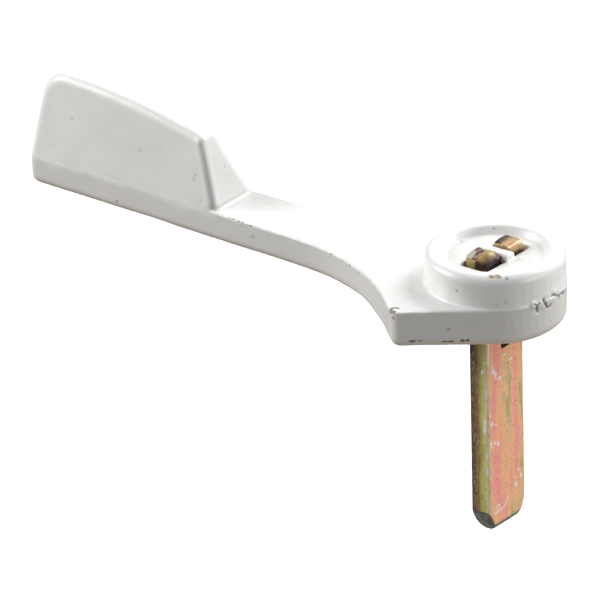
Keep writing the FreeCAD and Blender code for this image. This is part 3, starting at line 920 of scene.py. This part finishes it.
def plating_material(settings, grain, ragged, specks):
    """Yellow chromate: streaks of salmon, tan and olive, scuffs, and bare steel at the tip."""
    material, tree, shader, coordinates = new_material("Yellow Chromate")
    texture = place_group(tree, grain, Vector=coordinates, Mottle_Scale=900.0, Relief_Scale=5200.0)
    dust = place_group(tree, specks, Vector=coordinates, Scale=1300.0, Size=0.20, Share=0.3)
    wear = place_group(tree, ragged, Vector=coordinates, Field=field_node(tree, "worn"),
                       Edge_Scale=1800.0, Raggedness=0.3)
    scuff = place_group(tree, ragged, Vector=coordinates, Field=field_node(tree, "scuffed"),
                        Edge_Scale=3000.0, Raggedness=1.1)
    salmon, orange = settings.salmon_colour, settings.orange_colour
    olive, narrow_shade, tan = settings.olive_colour, settings.narrow_shade_colour, settings.tan_colour
    drawn = drawn_noise(tree, coordinates, 0.16, 2600.0, 5.0, 0.65, 0.4)
    film = plus(tree, field_node(tree, "film"), swing(tree, drawn, 1.35))
    wide = film_colours(tree, film, (
        (0.0, olive), (0.25, tan), (0.5, orange), (0.72, salmon), (1.0, (1.0, 0.36, 0.32))))
    half = tail_high[0] * MM
    along_x = axis_node(tree, coordinates, "X")
    across = range_node(tree, along_x, -half, half)
    # Painted shading across each narrow face: near black at its -X edge, through brown and olive, to a pale
    # painted highlight at its +X edge, shifted by the film.
    narrow = film_colours(tree, plus(tree, across, swing(tree, film, 0.42)), (
        (0.0, (0.06, 0.035, 0.025)), (0.2, narrow_shade), (0.4, (0.26, 0.17, 0.06)), (0.56, (0.44, 0.40, 0.10)),
        (0.76, (0.58, 0.56, 0.15)), (0.95, (0.82, 0.66, 0.38))))
    colour = mix_colour(tree, field_node(tree, "narrow"), wide, narrow)
    clouds = noise_node(tree, coordinates, 620.0, 4.0, 0.55, 0.6)
    # Colours on the prongs: painted shade near black in the hollows, through the chromate's olive and
    # orange, to a pale gold painted highlight on the tops.
    hammered = film_colours(tree, plus(tree, field_node(tree, "hammered"), swing(tree, clouds, 0.4)), (
        (0.0, (0.02, 0.01, 0.006)), (0.25, (0.12, 0.05, 0.028)), (0.5, (0.33, 0.26, 0.08)),
        (0.72, (0.56, 0.31, 0.19)), (1.0, (0.90, 0.80, 0.50))))
    hammered = tint(tree, hammered, FACET_STEEL, field_node(tree, "facet"), 0.8)
    colour = mix_colour(tree, field_node(tree, "staked"), colour, hammered)
    colour = tint(tree, colour, SLOT_SHADE, field_node(tree, "slotted"), 0.93)
    smooth_bar = math_node(tree, "SUBTRACT", 1.0, field_node(tree, "staked"), clamp=True)
    haze = drawn_noise(tree, coordinates, 0.3, 3600.0, 4.0, 0.7, 1.0)
    colour = tint(tree, colour, PALE_HAZE, range_node(tree, haze, 0.52, 0.68, 0.0, 0.36), smooth_bar)
    flecks = drawn_noise(tree, coordinates, 0.45, 4400.0, 3.0, 0.7, 0.6)
    colour = tint(tree, colour, OLIVE_FLECK, range_node(tree, flecks, 0.54, 0.66, 0.0, 0.6), smooth_bar)
    # Painted highlight on the bar's rounded edges, growing towards the +X side.
    edge_highlight = times(tree, field_node(tree, "edges"), range_node(tree, drawn, 0.40, 0.56, 0.15, 1.0))
    colour = tint(tree, colour, EDGE_HIGHLIGHT, edge_highlight, range_node(tree, along_x, -0.5 * half, 0.5 * half))
    colour = tint(tree, colour, SCUFF_RIM, scuff.outputs["Rim"], 0.35)
    colour = tint(tree, colour, SCUFF, scuff.outputs["Bare"], 0.74)
    colour = tint(tree, colour, SCRATCH_TONE, field_node(tree, "scratched"), 0.85)
    colour = tint(tree, colour, BAR_SPECK, dust.outputs["Specks"], 0.6)
    steel = tint(tree, with_alpha(settings.steel_colour), WORN_STEEL, texture.outputs["Mottle"])
    colour = mix_colour(tree, wear.outputs["Bare"], colour, steel)
    plug(tree, tint(tree, colour, WORN_RIM, wear.outputs["Rim"], 0.4), shader.inputs["Base Color"])
    rough = range_node(tree, texture.outputs["Mottle"], 0.0, 1.0, 0.36, 0.5)
    worn_away = math_node(tree, "MAXIMUM", scuff.outputs["Bare"], wear.outputs["Bare"])
    plug(tree, plus(tree, rough, times(tree, worn_away, 0.12)), shader.inputs["Roughness"])
    plug(tree, range_node(tree, wear.outputs["Bare"], 0.0, 1.0, 0.16, 0.5), shader.inputs["Metallic"])
    height = math_node(tree, "ADD", times(tree, drawn, 0.7), times(tree, texture.outputs["Relief"], 0.3))
    relief_node(tree, shader, height, 0.4, 0.02 * MM)
    return material


def floor_material(settings, grain):
    """Matt pale floor, seen through from below."""
    material, tree, shader, coordinates = new_material("Studio Floor")
    texture = place_group(tree, grain, Vector=coordinates, Mottle_Scale=4.0, Relief_Scale=300.0)
    shade = with_alpha([0.985 * value for value in settings.floor_colour])
    colour = mix_colour(tree, texture.outputs["Mottle"], with_alpha(settings.floor_colour), shade)
    plug(tree, colour, shader.inputs["Base Color"])
    shader.inputs["Roughness"].default_value = 0.9
    shader.inputs["Specular IOR Level"].default_value = 0.1
    clear = tree.nodes.new("ShaderNodeBsdfTransparent")
    side = tree.nodes.new("ShaderNodeNewGeometry")
    choice = tree.nodes.new("ShaderNodeMixShader")
    plug(tree, side.outputs["Backfacing"], choice.inputs["Fac"])
    plug(tree, shader.outputs["BSDF"], choice.inputs[1])
    plug(tree, clear.outputs["BSDF"], choice.inputs[2])
    plug(tree, choice.outputs["Shader"], tree.nodes["Material Output"].inputs["Surface"])
    return material


def shared_group(name, build):
    """A node group made once and used by every material that needs it."""
    return bpy.data.node_groups.get(name) or build()


def wear_groups():
    """The groups that both finishes use."""
    return (shared_group("Surface Grain", grain_group), shared_group("Ragged Wear", ragged_group),
            shared_group("Fine Specks", speck_group))


# ---- operators


class LATCH_OT_enamelled_lever(Operator):
    """Skin the lever casting in worn white enamel"""

    bl_idname = "latch.enamelled_lever"
    bl_label = "Enamelled Lever"

    def execute(self, context):
        settings = context.scene.latch_enamel
        piece = node_skin(LEVER_NODE, "enamelled_lever", settings.skin_spacing, settings.soften_steps)
        shape_enamel(piece, settings)
        piece.data.materials.append(enamel_material(settings, *wear_groups()))
        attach(piece, "lever")
        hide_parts(LEVER_NODE)
        return {"FINISHED"}


class LATCH_OT_plated_tailpiece(Operator):
    """Skin the tailpiece in yellow chromate with hammered prongs and a ground tip"""

    bl_idname = "latch.plated_tailpiece"
    bl_label = "Plated Tailpiece"

    def execute(self, context):
        settings = context.scene.latch_plating
        piece = node_skin(TAIL_NODE, "plated_tailpiece", settings.skin_spacing, settings.soften_steps)
        shape_plating(piece, settings)
        piece.data.materials.append(plating_material(settings, *wear_groups()))
        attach(piece, "tailpiece")
        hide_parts(TAIL_NODE)
        return {"FINISHED"}


def camera_axes(settings):
    """Right, up and back directions of the camera."""
    azimuth, elevation, roll = settings.azimuth, settings.elevation, settings.roll
    forward = Vector((-math.sin(azimuth) * math.cos(elevation),
                      math.cos(azimuth) * math.cos(elevation), -math.sin(elevation)))
    right = Vector((math.cos(azimuth), math.sin(azimuth), 0.0))
    up = right.cross(forward)
    rolled_right = right * math.cos(roll) + up * math.sin(roll)
    rolled_up = up * math.cos(roll) - right * math.sin(roll)
    return rolled_right, rolled_up, -forward


def add_camera(settings):
    """Long lens aimed beside the foot of the spindle."""
    right, up, back = camera_axes(settings)
    data = bpy.data.cameras.new("Studio Camera")
    data.lens = settings.lens
    data.clip_start = 0.01
    data.clip_end = 20.0
    camera = bpy.data.objects.new("Studio Camera", data)
    bpy.context.scene.collection.objects.link(camera)
    place = up * settings.aim_up - right * settings.aim_left + back * settings.distance
    turn = Matrix((right, up, back)).transposed()
    camera.matrix_world = Matrix.Translation(place) @ turn.to_4x4()
    bpy.context.scene.camera = camera


# Soft boxes, all at one distance: name, heading and elevation in degrees, size and power.
SOFT_BOX_DISTANCE = 0.9
SOFT_BOXES = (
    ("Left", -148.0, 30.0, 0.55, 8.5),
    ("Left Low", -118.0, 8.0, 0.50, 1.2),
    ("Right", 45.0, 45.0, 0.60, 2.9),
    ("Right Low", 5.0, 2.0, 0.45, 3.7),
    ("Back", 128.0, 40.0, 0.60, 1.4),
    ("Back Right", 75.0, 35.0, 0.60, 8.0),
)
FLOOR_HALF = 2.5


def add_soft_boxes():
    """Square lights that all face the middle of the lever."""
    middle = (cad_box[0] + cad_box[1]) / 2
    for name, heading, elevation, size, power in SOFT_BOXES:
        turn, rise = math.radians(heading), math.radians(elevation)
        away = Vector((math.cos(turn) * math.cos(rise), math.sin(turn) * math.cos(rise), math.sin(rise)))
        data = bpy.data.lights.new(name + " Soft Box", "AREA")
        data.shape = "SQUARE"
        data.size = size
        data.energy = power
        lamp = bpy.data.objects.new(name + " Soft Box", data)
        bpy.context.scene.collection.objects.link(lamp)
        facing = away.to_track_quat("Z", "Y").to_matrix().to_4x4()
        lamp.matrix_world = Matrix.Translation(middle + away * SOFT_BOX_DISTANCE) @ facing


def add_sky(settings):
    """Dim light from above and a warmer glow from the table below."""
    world = bpy.data.worlds.new("Studio Sky")
    world.use_nodes = True
    tree = world.node_tree
    direction = tree.nodes.new("ShaderNodeTexCoord").outputs["Generated"]
    upward = range_node(tree, axis_node(tree, direction, "Z"), -0.35, 0.25)
    glow, sky = settings.table_glow, settings.sky_strength
    below = (glow, 0.95 * glow, 0.87 * glow, 1.0)
    colour = mix_colour(tree, upward, below, (sky, sky, sky, 1.0))
    plug(tree, colour, tree.nodes["Background"].inputs["Color"])
    bpy.context.scene.world = world


def add_floor(settings):
    """Wide pale floor well below the tailpiece's tip."""
    half, level = FLOOR_HALF, cad_box[0].z - settings.floor_drop
    mesh = bpy.data.meshes.new("studio_floor")
    corners = [(-half, -half, level), (half, -half, level), (half, half, level), (-half, half, level)]
    mesh.from_pydata(corners, [], [(0, 1, 2, 3)])
    mesh.materials.append(floor_material(settings, shared_group("Surface Grain", grain_group)))
    floor = bpy.data.objects.new("studio_floor", mesh)
    bpy.context.scene.collection.objects.link(floor)
    floor.visible_diffuse = False
    floor.visible_glossy = False


class LATCH_OT_studio(Operator):
    """Set up the floor, the soft boxes and the camera"""

    bl_idname = "latch.studio"
    bl_label = "Studio"

    def execute(self, context):
        settings = context.scene.latch_studio
        context.scene.view_settings.view_transform = "Standard"
        add_camera(settings)
        add_sky(settings)
        add_soft_boxes()
        add_floor(settings)
        return {"FINISHED"}


class LATCH_PT_panel(Panel):
    """Buttons for each part of the latch lever"""

    bl_idname = "LATCH_PT_panel"
    bl_label = "Latch Lever"
    bl_space_type = "VIEW_3D"
    bl_region_type = "UI"
    bl_category = "Latch Lever"

    def draw(self, context):
        for operator in OPERATORS:
            self.layout.operator(operator.bl_idname)


OPERATORS = (LATCH_OT_enamelled_lever, LATCH_OT_plated_tailpiece, LATCH_OT_studio)
SETTINGS = (
    ("latch_enamel", EnamelSettings),
    ("latch_plating", PlatingSettings),
    ("latch_studio", StudioSettings),
)


def register():
    for name, group in SETTINGS:
        bpy.utils.register_class(group)
        setattr(bpy.types.Scene, name, PointerProperty(type=group))
    for made in (*OPERATORS, LATCH_PT_panel):
        bpy.utils.register_class(made)


def unregister():
    for made in (LATCH_PT_panel, *reversed(OPERATORS)):
        bpy.utils.unregister_class(made)
    for name, group in reversed(SETTINGS):
        delattr(bpy.types.Scene, name)
        bpy.utils.unregister_class(group)


def main():
    register()
    bpy.ops.latch.enamelled_lever()
    bpy.ops.latch.plated_tailpiece()
    bpy.ops.latch.studio()


if __name__ == "__main__":
    main()
